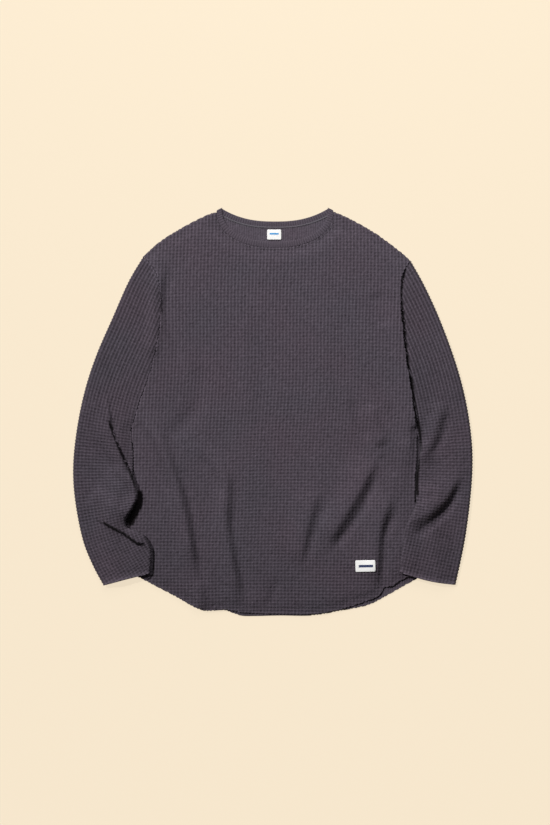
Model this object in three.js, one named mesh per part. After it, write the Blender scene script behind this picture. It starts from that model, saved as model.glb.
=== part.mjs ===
import * as THREE from 'three';

// Long-sleeved thermal top lying on its back, neck toward +Y, front facing +Z. Millimetres.
// Each cut piece is one closed layer of cloth. The layers rest on each other with a little air.

// Cloth and stacking
const CLOTH = 2.2;
const AIR = 0.6;
const FLAT = 2 * CLOTH + AIR;
const SEAM_GAP = 0.35;
const LOFT = 3;

// Grid sizes
const SHOULDER_CELLS = 8;
const NECK_CELLS = 16;
const ARMHOLE_SHARES = [0, 0.06, 0.14, 0.25, 0.38, 0.51, 0.64, 0.78, 0.91, 1];
const ARMHOLE_CELLS = ARMHOLE_SHARES.length - 1;
const FRONT_SIDE_CELLS = 18;
const BACK_SIDE_CELLS = 7;
const SLEEVE_STATIONS = 24;

// Neck opening: half an oval in front, a shallow dip behind
const NECK = {
  x: 4.4,
  y: 359.5,
  halfWidth: 93.5,
  frontDrop: 58.5,
  frontPower: 2.3,
  backDrop: 22.5,
  backPower: 2.5,
  band: 10.5,
  foldAngle: 0.44,
};

// Outline of the body. The sides run from the hem up to the armpit.
const SHOULDER_RIGHT = [
  { x: -228, y: 275 },
  { x: -198, y: 302 },
  { x: -156, y: 328 },
  { x: -121, y: 346 },
];
const SHOULDER_LEFT = [
  { x: 244, y: 267 },
  { x: 224, y: 285 },
  { x: 182, y: 316 },
  { x: 140, y: 340 },
];
const ARMHOLE_RIGHT = [
  { x: -228, y: 275 },
  { x: -211, y: 256 },
  { x: -200, y: 228 },
  { x: -196, y: 188 },
  { x: -202, y: 128 },
  { x: -219, y: 61 },
  { x: -236, y: 14 },
  { x: -249, y: -32 },
];
const ARMHOLE_LEFT = [
  { x: 244, y: 267 },
  { x: 231, y: 247 },
  { x: 225, y: 216 },
  { x: 228, y: 163 },
  { x: 235, y: 98 },
  { x: 243, y: 48 },
  { x: 249, y: 4 },
  { x: 254, y: -34 },
];
const SIDE_RIGHT = [
  { x: -254, y: -281 },
  { x: -261, y: -242 },
  { x: -265, y: -201 },
  { x: -261, y: -164 },
  { x: -251, y: -137 },
  { x: -246, y: -112 },
  { x: -245, y: -75 },
  { x: -249, y: -32 },
];
const SIDE_LEFT = [
  { x: 268, y: -286 },
  { x: 265, y: -245 },
  { x: 259, y: -207 },
  { x: 254, y: -172 },
  { x: 252, y: -140 },
  { x: 252, y: -110 },
  { x: 255, y: -75 },
  { x: 254, y: -34 },
];
const HEM_FRONT = [
  { x: -254, y: -281 },
  { x: -212, y: -303 },
  { x: -170, y: -325 },
  { x: -138, y: -343 },
  { x: -115, y: -350 },
  { x: -85, y: -348 },
  { x: -50, y: -353 },
  { x: 13, y: -356 },
  { x: 70, y: -356 },
  { x: 119, y: -348 },
  { x: 165, y: -331 },
  { x: 194, y: -311 },
  { x: 230, y: -292 },
  { x: 268, y: -286 },
];
const HEM_BACK = [
  { x: -254, y: -281 },
  { x: -212, y: -303 },
  { x: -170, y: -325 },
  { x: -138, y: -343 },
  { x: -115, y: -350 },
  { x: -85, y: -349 },
  { x: -57, y: -358 },
  { x: -30, y: -359 },
  { x: 13, y: -358 },
  { x: 70, y: -358 },
  { x: 119, y: -350 },
  { x: 168, y: -340 },
  { x: 200, y: -324 },
  { x: 232, y: -306 },
  { x: 268, y: -286 },
];

// Sleeves: outer fold from the shoulder to the cuff, inner edge from the armpit to the cuff.
// Between climbFrom and climbTo the sleeve climbs from beside the body onto it.
const SLEEVE_RIGHT = {
  name: 'sleeve_right',
  sign: -1,
  armhole: ARMHOLE_RIGHT,
  side: SIDE_RIGHT,
  climbFrom: -50,
  climbTo: -100,
  outer: [
    { x: -228, y: 275 },
    { x: -254, y: 231 },
    { x: -282, y: 168 },
    { x: -311, y: 101 },
    { x: -332, y: 36 },
    { x: -346, y: -34 },
    { x: -352, y: -99 },
    { x: -348, y: -158 },
    { x: -335, y: -224 },
    { x: -317, y: -270 },
    { x: -298, y: -305 },
  ],
  inner: [
    { x: -249, y: -32 },
    { x: -246, y: -75 },
    { x: -246, y: -109 },
    { x: -239, y: -134 },
    { x: -237, y: -150 },
    { x: -245, y: -168 },
    { x: -257, y: -188 },
    { x: -256, y: -202 },
    { x: -240, y: -207 },
    { x: -222, y: -220 },
    { x: -213, y: -245 },
    { x: -216, y: -283 },
  ],
};
const SLEEVE_LEFT = {
  name: 'sleeve_left',
  sign: 1,
  armhole: ARMHOLE_LEFT,
  side: SIDE_LEFT,
  climbFrom: -118,
  climbTo: -158,
  outer: [
    { x: 244, y: 267 },
    { x: 268, y: 224 },
    { x: 295, y: 165 },
    { x: 323, y: 89 },
    { x: 341, y: 22 },
    { x: 351, y: -43 },
    { x: 353, y: -96 },
    { x: 349, y: -154 },
    { x: 341, y: -216 },
    { x: 332, y: -263 },
    { x: 323, y: -304 },
  ],
  inner: [
    { x: 254, y: -34 },
    { x: 255, y: -56 },
    { x: 255, y: -78 },
    { x: 252, y: -110 },
    { x: 252, y: -140 },
    { x: 252, y: -160 },
    { x: 243, y: -182 },
    { x: 234, y: -200 },
    { x: 229, y: -224 },
    { x: 226, y: -256 },
    { x: 223, y: -281 },
  ],
};

// Folds: a path with the height above the cloth around it and the half width on each side.
// The half widths are named for someone walking the path from its first point.
const BODY_FOLDS = [
  { height: 9, left: 15, right: 20,
    path: [{ x: -226, y: 10 }, { x: -180, y: -95 }, { x: -156, y: -175 }, { x: -137, y: -290 }] },
  { height: 6, left: 13, right: 24,
    path: [{ x: -125, y: -62 }, { x: -84, y: -112 }, { x: -82, y: -190 }, { x: -60, y: -345 }] },
  { height: 4, left: 12, right: 12,
    path: [{ x: -129, y: -290 }, { x: -129, y: -325 }, { x: -127, y: -352 }] },
  { height: 4, left: 12, right: 26,
    path: [{ x: 82, y: -128 }, { x: 62, y: -190 }, { x: 47, y: -270 }] },
  { height: 8, left: 14, right: 30,
    path: [{ x: 182, y: -72 }, { x: 150, y: -138 }, { x: 90, y: -236 }] },
  { height: 7, left: 15, right: 24,
    path: [{ x: 212, y: -135 }, { x: 190, y: -195 }, { x: 180, y: -305 }] },
  { height: 5, left: 12, right: 14,
    path: [{ x: 170, y: 18 }, { x: 181, y: -22 }, { x: 196, y: -62 }] },
  { height: -3, left: 15, right: 15,
    path: [{ x: -135, y: 95 }, { x: -131, y: 15 }, { x: -188, y: -50 }] },
  { height: -2, left: 18, right: 18,
    path: [{ x: 182, y: 215 }, { x: 198, y: 150 }] },
];
const SEAM_FOLDS = [
  { height: 4, left: 20, right: 20,
    path: [{ x: -203, y: 262 }, { x: -207, y: 190 }, { x: -214, y: 85 }] },
  { height: -8, left: 9, right: 9,
    path: [{ x: 240, y: 275 }, { x: 225, y: 216 }, { x: 235, y: 98 }, { x: 256, y: -90 }] },
  { height: 6, left: 26, right: 26,
    path: [{ x: 244, y: 255 }, { x: 226, y: 190 }, { x: 240, y: 60 }, { x: 255, y: -120 }] },
];
const SLEEVE_RIGHT_FOLDS = [
  { height: 7, left: 12, right: 20,
    path: [{ x: -299, y: 30 }, { x: -290, y: -45 }, { x: -252, y: -118 }] },
  { height: 9, left: 14, right: 26,
    path: [{ x: -322, y: -135 }, { x: -285, y: -165 }, { x: -252, y: -178 }] },
  { height: -6, left: 11, right: 11,
    path: [{ x: -305, y: -190 }, { x: -262, y: -214 }, { x: -222, y: -236 }] },
];
const SLEEVE_LEFT_FOLDS = [
  { height: 10, left: 13, right: 30,
    path: [{ x: 330, y: -100 }, { x: 298, y: -155 }, { x: 232, y: -196 }] },
  { height: 5, left: 13, right: 15,
    path: [{ x: 300, y: 25 }, { x: 280, y: -50 }, { x: 258, y: -92 }] },
];

// Labels
const NECK_LABEL = { x: 3, y: 313.5, width: 25, height: 18, turn: 0 };
const HEM_LABEL = { x: 163.5, y: -270, width: 35, height: 20.5, turn: 0.035 };
const LABEL_CLOTH = 0.8;

// Colours
const charcoal = new THREE.MeshStandardMaterial({
  color: 0x4e474f, roughness: 0.95, metalness: 0, name: 'waffle knit',
});
const bandKnit = new THREE.MeshStandardMaterial({
  color: 0x544d55, roughness: 0.92, metalness: 0, name: 'plain knit',
});
const whiteTape = new THREE.MeshStandardMaterial({
  color: 0xeceae6, roughness: 0.8, metalness: 0, name: 'woven label',
});

// Small arithmetic
const lerp = (a, b, t) => a + (b - a) * t;
const mix = (p, q, t) => ({ x: lerp(p.x, q.x, t), y: lerp(p.y, q.y, t) });
const distance = (p, q) => Math.hypot(p.x - q.x, p.y - q.y);

function ease(t) {
  const c = Math.min(1, Math.max(0, t));
  return c * c * (3 - 2 * c);
}

function softPositive(h) {
  return 0.5 * (h + Math.sqrt(h * h + 0.25));
}

// Smooth curve through a few points, kept as a fine chain of points with running lengths
function curveThrough(points) {
  const spans = 14;
  const last = points.length - 1;
  const chain = [];
  for (let i = 0; i < last; i += 1) {
    const before = points[Math.max(i - 1, 0)];
    const start = points[i];
    const end = points[i + 1];
    const after = points[Math.min(i + 2, last)];
    for (let k = 0; k < spans; k += 1) {
      const t = k / spans;
      const bend = (a, b, c, d) =>
        0.5 * (2 * b + (c - a) * t + (2 * a - 5 * b + 4 * c - d) * t * t + (3 * b - a - 3 * c + d) * t ** 3);
      chain.push({
        x: bend(before.x, start.x, end.x, after.x),
        y: bend(before.y, start.y, end.y, after.y),
      });
    }
  }
  chain.push(points[last]);
  const run = [0];
  for (let i = 1; i < chain.length; i += 1) {
    run.push(run[i - 1] + distance(chain[i - 1], chain[i]));
  }
  return { chain, run, length: run[run.length - 1] };
}

function pointAlong(curve, share) {
  const target = Math.min(1, Math.max(0, share)) * curve.length;
  let i = 1;
  while (i < curve.run.length - 1 && curve.run[i] < target) {
    i += 1;
  }
  const span = curve.run[i] - curve.run[i - 1];
  return mix(curve.chain[i - 1], curve.chain[i], (target - curve.run[i - 1]) / span);
}

function evenPoints(curve, cells) {
  return Array.from({ length: cells + 1 }, (unused, i) => pointAlong(curve, i / cells));
}

// Nearest place on a chain: its distance, how far along it lies and on which side
function nearestOn(curve, x, y) {
  let best = { away: Infinity, share: 0, side: 1 };
  for (let i = 1; i < curve.chain.length; i += 1) {
    const a = curve.chain[i - 1];
    const b = curve.chain[i];
    const dx = b.x - a.x;
    const dy = b.y - a.y;
    const t = Math.min(1, Math.max(0, ((x - a.x) * dx + (y - a.y) * dy) / (dx * dx + dy * dy)));
    const away = Math.hypot(x - a.x - dx * t, y - a.y - dy * t);
    if (away < best.away) {
      const side = dx * (y - a.y) - dy * (x - a.x) > 0 ? 1 : -1;
      best = { away, share: lerp(curve.run[i - 1], curve.run[i], t) / curve.length, side };
    }
  }
  return best;
}

// Folds as heights over the cloth around them
function foldHeights(folds) {
  const ready = folds.map((fold) => ({ ...fold, curve: curveThrough(fold.path) }));
  return (x, y) => {
    let total = 0;
    for (const fold of ready) {
      const near = nearestOn(fold.curve, x, y);
      const half = near.side > 0 ? fold.left : fold.right;
      const across = near.away / half;
      const ends = ease(near.share / 0.25) * ease((1 - near.share) / 0.2);
      total += fold.height * (0.25 + 0.75 * ends) * Math.exp(-across * across);
    }
    return total;
  };
}

const bodyFolds = foldHeights(BODY_FOLDS);
const seamFolds = foldHeights(SEAM_FOLDS);

// Neckband stations: the free edge, the seam edge and the way across the band
function neckStation(share, onFront) {
  const angle = Math.PI * share;
  const across = -Math.cos(angle);
  const x = (a) => NECK.x + NECK.halfWidth * Math.sign(a) * Math.abs(a) ** (2 / NECK.frontPower);
  const edgeAt = (s) => {
    const c = -Math.cos(Math.PI * s);
    if (onFront) {
      return { x: x(c), y: NECK.y - NECK.frontDrop * Math.sin(Math.PI * s) ** (2 / NECK.frontPower) };
    }
    return { x: NECK.x + NECK.halfWidth * c, y: NECK.y - NECK.backDrop * (1 - Math.abs(c) ** NECK.backPower) };
  };
  const edge = edgeAt(share);
  const a = edgeAt(Math.max(0, share - 0.002));
  const b = edgeAt(Math.min(1, share + 0.002));
  const run = distance(a, b);
  const square = { x: (b.y - a.y) / run, y: -(b.x - a.x) / run };
  const folded = { x: Math.sign(across) * Math.cos(NECK.foldAngle), y: -Math.sin(NECK.foldAngle) };
  const towardFold = ease(1 - Math.min(share, 1 - share) / 0.12);
  const way = mix(square, folded, towardFold);
  const size = Math.hypot(way.x, way.y);
  const out = { x: way.x / size, y: way.y / size };
  const reach = (d) => ({ x: edge.x + out.x * d, y: edge.y + out.y * d });
  return { edge, out, seam: reach(NECK.band), panel: reach(NECK.band + SEAM_GAP) };
}

const neckStations = (onFront) =>
  Array.from({ length: NECK_CELLS + 1 }, (unused, i) => neckStation(i / NECK_CELLS, onFront));

// Body panels: four edges filled by blending
const pointsAt = (curve, shares) => shares.map((share) => pointAlong(curve, share));
const armholeRight = pointsAt(curveThrough(ARMHOLE_RIGHT), ARMHOLE_SHARES);
const armholeLeft = pointsAt(curveThrough(ARMHOLE_LEFT), ARMHOLE_SHARES);

function panelGrid(hem, sideCells, onFront) {
  const neck = neckStations(onFront).map((station) => station.panel);
  const shoulderRight = evenPoints(curveThrough([...SHOULDER_RIGHT, neck[0]]), SHOULDER_CELLS);
  const shoulderLeft = evenPoints(curveThrough([...SHOULDER_LEFT, neck[NECK_CELLS]]), SHOULDER_CELLS);
  const top = [...shoulderRight, ...neck.slice(1, -1), ...shoulderLeft.reverse()];
  const left = [...evenPoints(curveThrough(SIDE_RIGHT), sideCells), ...[...armholeRight].reverse().slice(1)];
  const right = [...evenPoints(curveThrough(SIDE_LEFT), sideCells), ...[...armholeLeft].reverse().slice(1)];
  const hemCurve = curveThrough(hem);
  const columns = top.length - 1;
  const rows = left.length - 1;
  const shareAcross = top.map((p) => (p.x - top[0].x) / (top[columns].x - top[0].x));
  const shares = shareAcross.map((share, i) => lerp(i / columns, share, 0.7));
  const bottom = shares.map((share) => pointAlong(hemCurve, share));
  const shareUp = left.map((p, j) => (p.y + right[j].y - left[0].y - right[0].y)
    / (left[rows].y + right[rows].y - left[0].y - right[0].y));
  return left.map((leftPoint, j) => bottom.map((bottomPoint, i) => {
    const u = shares[i];
    const v = shareUp[j];
    const blend = (axis) => lerp(bottomPoint[axis], top[i][axis], v)
      + (1 - u) ** 8 * (leftPoint[axis] - lerp(left[0][axis], left[rows][axis], v))
      + u ** 8 * (right[j][axis] - lerp(right[0][axis], right[rows][axis], v));
    return { x: blend('x'), y: blend('y') };
  }));
}

const frontGrid = panelGrid(HEM_FRONT, FRONT_SIDE_CELLS, true);
const backGrid = panelGrid(HEM_BACK, BACK_SIDE_CELLS, false);

// Edges where the front comes down to meet the back
const lowEdges = [
  curveThrough(SIDE_RIGHT),
  curveThrough(SIDE_LEFT),
  curveThrough(SHOULDER_RIGHT),
  curveThrough(SHOULDER_LEFT),
  { ...curveThrough(neckStations(true).map((station) => station.panel)) },
];
const hemEdge = curveThrough(HEM_FRONT);

function bodyHeight(x, y) {
  const edge = Math.min(...lowEdges.map((curve) => nearestOn(curve, x, y).away));
  const hem = nearestOn(hemEdge, x, y).away;
  const loft = LOFT * ease(edge / 26) * ease((hem + 6) / 34);
  const rise = (bodyFolds(x, y) + seamFolds(x, y)) * ease(edge / 16);
  return FLAT + softPositive(loft + rise);
}

// Closed body from points and faces, turned to face outward
function closedBody(name, points, faces, material) {
  const geometry = new THREE.BufferGeometry();
  geometry.setAttribute('position', new THREE.Float32BufferAttribute(points.flat(), 3));
  let volume = 0;
  for (const [a, b, c] of faces) {
    const p = new THREE.Vector3(...points[a]);
    const q = new THREE.Vector3(...points[b]);
    const r = new THREE.Vector3(...points[c]);
    volume += p.dot(q.cross(r));
  }
  const outward = volume > 0 ? faces : faces.map(([a, b, c]) => [a, c, b]);
  geometry.setIndex(outward.flat());
  geometry.computeVertexNormals();
  const mesh = new THREE.Mesh(geometry, material);
  mesh.name = name;
  return mesh;
}

// Two facets of one grid cell, split between the corners that are most alike in height
function facetPair(grid, height, j, i) {
  const level = (row, column) => height(grid[row][column].x, grid[row][column].y);
  const rising = Math.abs(level(j, i) - level(j + 1, i + 1));
  const falling = Math.abs(level(j, i + 1) - level(j + 1, i));
  if (rising <= falling) {
    return [
      [[j, i], [j, i + 1], [j + 1, i + 1]],
      [[j, i], [j + 1, i + 1], [j + 1, i]],
    ];
  }
  return [
    [[j, i], [j, i + 1], [j + 1, i]],
    [[j, i + 1], [j + 1, i + 1], [j + 1, i]],
  ];
}

// Layer of cloth over a grid, between an upper and a lower height
function clothLayer(name, grid, upper, lower, material) {
  const rows = grid.length;
  const columns = grid[0].length;
  const points = [];
  for (const height of [upper, lower]) {
    for (let j = 0; j < rows; j += 1) {
      for (let i = 0; i < columns; i += 1) {
        const p = grid[j][i];
        points.push([p.x, p.y, height(p.x, p.y, j, i)]);
      }
    }
  }
  const at = (layer, [j, i]) => layer * rows * columns + j * columns + i;
  const faces = [];
  for (let j = 0; j < rows - 1; j += 1) {
    for (let i = 0; i < columns - 1; i += 1) {
      for (const corners of facetPair(grid, upper, j, i)) {
        const [a, b, c] = corners.map((corner) => at(0, corner));
        faces.push([a, b, c]);
        const [d, e, f] = corners.map((corner) => at(1, corner));
        faces.push([d, f, e]);
      }
    }
  }
  const rim = [];
  for (let i = 0; i < columns - 1; i += 1) rim.push([0, i]);
  for (let j = 0; j < rows - 1; j += 1) rim.push([j, columns - 1]);
  for (let i = columns - 1; i > 0; i -= 1) rim.push([rows - 1, i]);
  for (let j = rows - 1; j > 0; j -= 1) rim.push([j, 0]);
  rim.forEach(([j, i], k) => {
    const next = rim[(k + 1) % rim.length];
    faces.push([at(1, [j, i]), at(1, next), at(0, next)]);
    faces.push([at(1, [j, i]), at(0, next), at(0, [j, i])]);
  });
  return closedBody(name, points, faces, material);
}

// Sleeves: flattened tubes, open at the armhole and at the cuff
function seamAt(curve, y) {
  let x = curve.chain[0].x;
  for (let i = 1; i < curve.chain.length; i += 1) {
    const a = curve.chain[i - 1];
    const b = curve.chain[i];
    if ((a.y - y) * (b.y - y) <= 0) {
      x = lerp(a.x, b.x, (y - a.y) / (b.y - a.y));
    }
  }
  return x;
}

function sleeveTube(sleeve, sleeveFolds, armhole) {
  const folds = foldHeights(sleeveFolds);
  const outer = curveThrough(sleeve.outer);
  const inner = curveThrough(sleeve.inner);
  const side = curveThrough(sleeve.side);
  const lift = (x, y) => {
    const inside = -sleeve.sign * (x - seamAt(side, Math.max(y, side.chain[0].y)));
    const climbed = ease((sleeve.climbFrom - y) / (sleeve.climbFrom - sleeve.climbTo));
    return climbed * ease((inside + 34) / 20) * (bodyHeight(x, y) + 1.1);
  };
  const topHeight = (x, y) => FLAT + softPositive(LOFT + folds(x, y) + seamFolds(x, y));

  // Across the sleeve from the inner edge: distance from an edge, or a share of the width
  const across = [{ fromInner: 0 }, { fromInner: 1.2 }, { fromInner: 4.5 }];
  for (let m = ARMHOLE_CELLS - 1; m > 0; m -= 1) across.push({ share: 1 - ARMHOLE_SHARES[m], knot: m });
  across.push({ fromOuter: 4.5 }, { fromOuter: 1.2 }, { fromOuter: 0 });
  const seamShift = sleeve.sign * (SEAM_GAP + 0.15);
  const start = [...armhole].reverse();
  const atArmhole = (step) => {
    let p;
    if ('share' in step) {
      p = armhole[step.knot];
    } else if ('fromInner' in step) {
      p = mix(start[0], start[1], step.fromInner / distance(start[0], start[1]));
    } else {
      p = mix(start[ARMHOLE_CELLS], start[ARMHOLE_CELLS - 1],
        step.fromOuter / distance(start[ARMHOLE_CELLS], start[ARMHOLE_CELLS - 1]));
    }
    return p;
  };
  const shareOf = (step, width) => {
    if ('share' in step) return step.share;
    return 'fromInner' in step ? step.fromInner / width : 1 - step.fromOuter / width;
  };

  const outsideLoops = [];
  const insideLoops = [];
  for (let s = 0; s <= SLEEVE_STATIONS; s += 1) {
    const t = s / SLEEVE_STATIONS;
    const p = pointAlong(inner, lerp(t * t, t, 0.15 * t));
    const q = pointAlong(outer, t);
    const width = distance(p, q);
    const startWidth = distance(inner.chain[0], outer.chain[0]);
    const fade = (1 - t) ** 2;
    const clear = seamShift * (1 + 3 * ease(t / 0.15) * (1 - 0.6 * ease((t - 0.3) / 0.3)));
    const place = (step) => {
      const plain = mix(p, q, shareOf(step, width));
      const plainStart = mix(inner.chain[0], outer.chain[0], shareOf(step, startWidth));
      const wanted = atArmhole(step);
      return {
        x: plain.x + fade * (wanted.x - plainStart.x) + clear,
        y: plain.y + fade * (wanted.y - plainStart.y),
      };
    };
    const outsideTop = [];
    const outsideBottom = [];
    const insideTop = [];
    const insideBottom = [];
    across.forEach((step) => {
      const fromEdge = 'share' in step ? 100 : Math.min(step.fromInner ?? 100, step.fromOuter ?? 100);
      const here = place(step);
      const floor = lift(here.x, here.y);
      const top = floor + topHeight(here.x, here.y);
      const middle = (floor + Math.min(top, floor + FLAT + 4)) / 2;
      const radius = 0.8 * (middle - floor) + 1.6;
      const roll = Math.sqrt(1 - Math.max(0, 1 - fromEdge / radius) ** 2);
      outsideTop.push([here.x, here.y, lerp(middle, top, roll)]);
      outsideBottom.push([here.x, here.y, lerp(middle, floor, roll)]);
      const inset = { 0: CLOTH + 0.2, 1.2: CLOTH + 0.8 }[fromEdge] ?? fromEdge;
      const insideStep = { ...step };
      if ('fromInner' in step) insideStep.fromInner = inset;
      if ('fromOuter' in step) insideStep.fromOuter = inset;
      const within = 'share' in step ? here : place(insideStep);
      const open = { 0: 0, 1.2: 0.6 }[fromEdge] ?? 1;
      const ceiling = lerp(middle, top, roll > 0.98 ? 1 : Math.max(roll, open)) - CLOTH;
      insideTop.push([within.x, within.y, lerp(middle, Math.max(ceiling, middle + 0.3), open)]);
      insideBottom.push([within.x, within.y, lerp(middle, Math.min(floor + CLOTH, middle - 0.3), open)]);
    });
    outsideLoops.push([...outsideTop, ...outsideBottom.slice(1, -1).reverse()]);
    insideLoops.push([...insideTop, ...insideBottom.slice(1, -1).reverse()]);
  }

  const around = outsideLoops[0].length;
  const stations = outsideLoops.length;
  const points = [...outsideLoops.flat(), ...insideLoops.flat()];
  const at = (skin, s, k) => skin * stations * around + s * around + (k % around);
  const faces = [];
  for (let s = 0; s < stations - 1; s += 1) {
    for (let k = 0; k < around; k += 1) {
      faces.push([at(0, s, k), at(0, s, k + 1), at(0, s + 1, k + 1)]);
      faces.push([at(0, s, k), at(0, s + 1, k + 1), at(0, s + 1, k)]);
      faces.push([at(1, s, k), at(1, s + 1, k + 1), at(1, s, k + 1)]);
      faces.push([at(1, s, k), at(1, s + 1, k), at(1, s + 1, k + 1)]);
    }
  }
  for (let k = 0; k < around; k += 1) {
    const end = stations - 1;
    faces.push([at(1, 0, k), at(1, 0, k + 1), at(0, 0, k + 1)]);
    faces.push([at(1, 0, k), at(0, 0, k + 1), at(0, 0, k)]);
    faces.push([at(0, end, k), at(0, end, k + 1), at(1, end, k + 1)]);
    faces.push([at(0, end, k), at(1, end, k + 1), at(1, end, k)]);
  }
  return closedBody(sleeve.name, points, faces, charcoal);
}

// Neckband: a flat ribbon all round the opening, folded over at both shoulders
function neckband() {
  const sections = [];
  const section = (station, middle, normal) => {
    const corner = (point, side) => [
      point.x + normal.x * side * CLOTH / 2,
      point.y + normal.y * side * CLOTH / 2,
      middle + normal.z * side * CLOTH / 2,
    ];
    sections.push([
      corner(station.edge, 1),
      corner(station.seam, 1),
      corner(station.seam, -1),
      corner(station.edge, -1),
    ]);
  };
  const upper = FLAT - CLOTH / 2;
  const lower = CLOTH / 2;
  const bendRadius = (upper - lower) / 2;
  const bend = (station) => {
    const beyond = { x: Math.abs(station.out.y) * -Math.sign(station.out.x), y: Math.abs(station.out.x) };
    return [0.25, 0.5, 0.75].map((share) => {
      const turn = Math.PI * share;
      const push = bendRadius * Math.sin(turn);
      const moved = (p) => ({ x: p.x + beyond.x * push, y: p.y + beyond.y * push });
      return {
        station: { edge: moved(station.edge), seam: moved(station.seam) },
        middle: (upper + lower) / 2 + bendRadius * Math.cos(turn),
        normal: { x: beyond.x * Math.sin(turn), y: beyond.y * Math.sin(turn), z: Math.cos(turn) },
      };
    });
  };
  const front = neckStations(true);
  const back = neckStations(false);
  front.forEach((station) => section(station, upper, { x: 0, y: 0, z: 1 }));
  bend(front[NECK_CELLS]).forEach((step) => section(step.station, step.middle, step.normal));
  [...back].reverse().forEach((station) => section(station, lower, { x: 0, y: 0, z: -1 }));
  bend(front[0]).reverse().forEach((step) => section(step.station, step.middle, step.normal));
  const faces = [];
  const count = sections.length;
  const at = (s, k) => (s % count) * 4 + (k % 4);
  for (let s = 0; s < count; s += 1) {
    for (let k = 0; k < 4; k += 1) {
      faces.push([at(s, k), at(s, k + 1), at(s + 1, k + 1)]);
      faces.push([at(s, k), at(s + 1, k + 1), at(s + 1, k)]);
    }
  }
  return closedBody('neckband', sections.flat(), faces, bandKnit);
}

// Height of a panel's faceted upper side, so that a label can follow it exactly
function facetHeight(grid, height, x, y) {
  const level = (p) => height(p.x, p.y);
  const farApart = 60;
  for (let j = 0; j < grid.length - 1; j += 1) {
    for (let i = 0; i < grid[0].length - 1; i += 1) {
      if (distance(grid[j][i], { x, y }) > farApart) continue;
      for (const corners of facetPair(grid, height, j, i)) {
        const [a, b, c] = corners.map(([row, column]) => grid[row][column]);
        const area = (b.x - a.x) * (c.y - a.y) - (b.y - a.y) * (c.x - a.x);
        const v = ((x - a.x) * (c.y - a.y) - (y - a.y) * (c.x - a.x)) / area;
        const w = ((b.x - a.x) * (y - a.y) - (b.y - a.y) * (x - a.x)) / area;
        if (v >= 0 && w >= 0 && v + w <= 1) {
          return level(a) * (1 - v - w) + level(b) * v + level(c) * w;
        }
      }
    }
  }
  return height(x, y);
}

function labelPatch(name, label, across, up, clearance, under) {
  const grid = [];
  for (let j = 0; j <= up; j += 1) {
    const row = [];
    for (let i = 0; i <= across; i += 1) {
      const dx = (i / across - 0.5) * label.width;
      const dy = (j / up - 0.5) * label.height;
      row.push({
        x: label.x + dx * Math.cos(label.turn) - dy * Math.sin(label.turn),
        y: label.y + dx * Math.sin(label.turn) + dy * Math.cos(label.turn),
      });
    }
    grid.push(row);
  }
  const lower = (x, y) => under(x, y) + clearance;
  return clothLayer(name, grid, (x, y) => lower(x, y) + LABEL_CLOTH, lower, whiteTape);
}

// Assembly, centred over the origin
const part = new THREE.Group();
part.name = 'thermal_top';
part.add(clothLayer('back', backGrid, () => CLOTH, () => 0, charcoal));
part.add(clothLayer('front', frontGrid, bodyHeight, (x, y) => bodyHeight(x, y) - CLOTH, charcoal));
part.add(sleeveTube(SLEEVE_RIGHT, SLEEVE_RIGHT_FOLDS, armholeRight));
part.add(sleeveTube(SLEEVE_LEFT, SLEEVE_LEFT_FOLDS, armholeLeft));
part.add(neckband());
part.add(labelPatch('neck_label', NECK_LABEL, 2, 2, 0.4, () => CLOTH));
part.add(labelPatch('hem_label', HEM_LABEL, 9, 6, 0.6, (x, y) => facetHeight(frontGrid, bodyHeight, x, y)));

const box = new THREE.Box3().setFromObject(part);
const middle = box.getCenter(new THREE.Vector3());
part.children.forEach((mesh) => mesh.geometry.translate(-middle.x, -middle.y, 0));

export default part;
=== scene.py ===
"""Looks of the thermal top lying flat: knit, labels, stitches, ground, camera and light."""

import math

import bpy
import numpy as np
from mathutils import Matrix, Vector


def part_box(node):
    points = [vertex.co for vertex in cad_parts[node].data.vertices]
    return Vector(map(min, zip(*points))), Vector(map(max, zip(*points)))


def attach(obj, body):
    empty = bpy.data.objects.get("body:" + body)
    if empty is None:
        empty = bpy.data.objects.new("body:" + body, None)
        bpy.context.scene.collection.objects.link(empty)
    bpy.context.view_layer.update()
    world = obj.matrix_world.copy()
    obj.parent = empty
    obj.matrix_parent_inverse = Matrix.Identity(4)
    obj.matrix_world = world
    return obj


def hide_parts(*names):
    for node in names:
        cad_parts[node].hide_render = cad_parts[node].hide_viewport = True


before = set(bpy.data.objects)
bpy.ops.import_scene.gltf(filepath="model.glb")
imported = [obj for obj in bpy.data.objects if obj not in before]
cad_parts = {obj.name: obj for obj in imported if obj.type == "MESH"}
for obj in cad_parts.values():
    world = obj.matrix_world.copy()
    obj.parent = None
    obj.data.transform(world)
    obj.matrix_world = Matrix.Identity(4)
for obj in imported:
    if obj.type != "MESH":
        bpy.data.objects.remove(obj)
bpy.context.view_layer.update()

# Cloth and stacking, in millimetres as every length below
CLOTH = 2.2
AIR = 0.6
FLAT = 2 * CLOTH + AIR
LOFT = 3.0
SEAM_GAP = 0.1
SLEEVE_GAP = 0.08

# Waffle knit: cell size, nodes in a cell each way, and the share of the step between nodes
# within which a node moves onto the outline. Then depth of a pit, how uneven the ribs are, and
# how far the pits along an outline stand in.
CELL_WIDTH = 6.1
CELL_HEIGHT = 5.9
CELL_NODES = 3
SNAP_SHARE = 0.525
PIT_DEPTH = 1.25
UNEVEN_RIB = 0.14
SCALLOP = 0.9

# Seeds of the unevenness of the knit, to which the side of each piece is added
PANEL_SEED = 11
SLEEVE_SEED = 15

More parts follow.
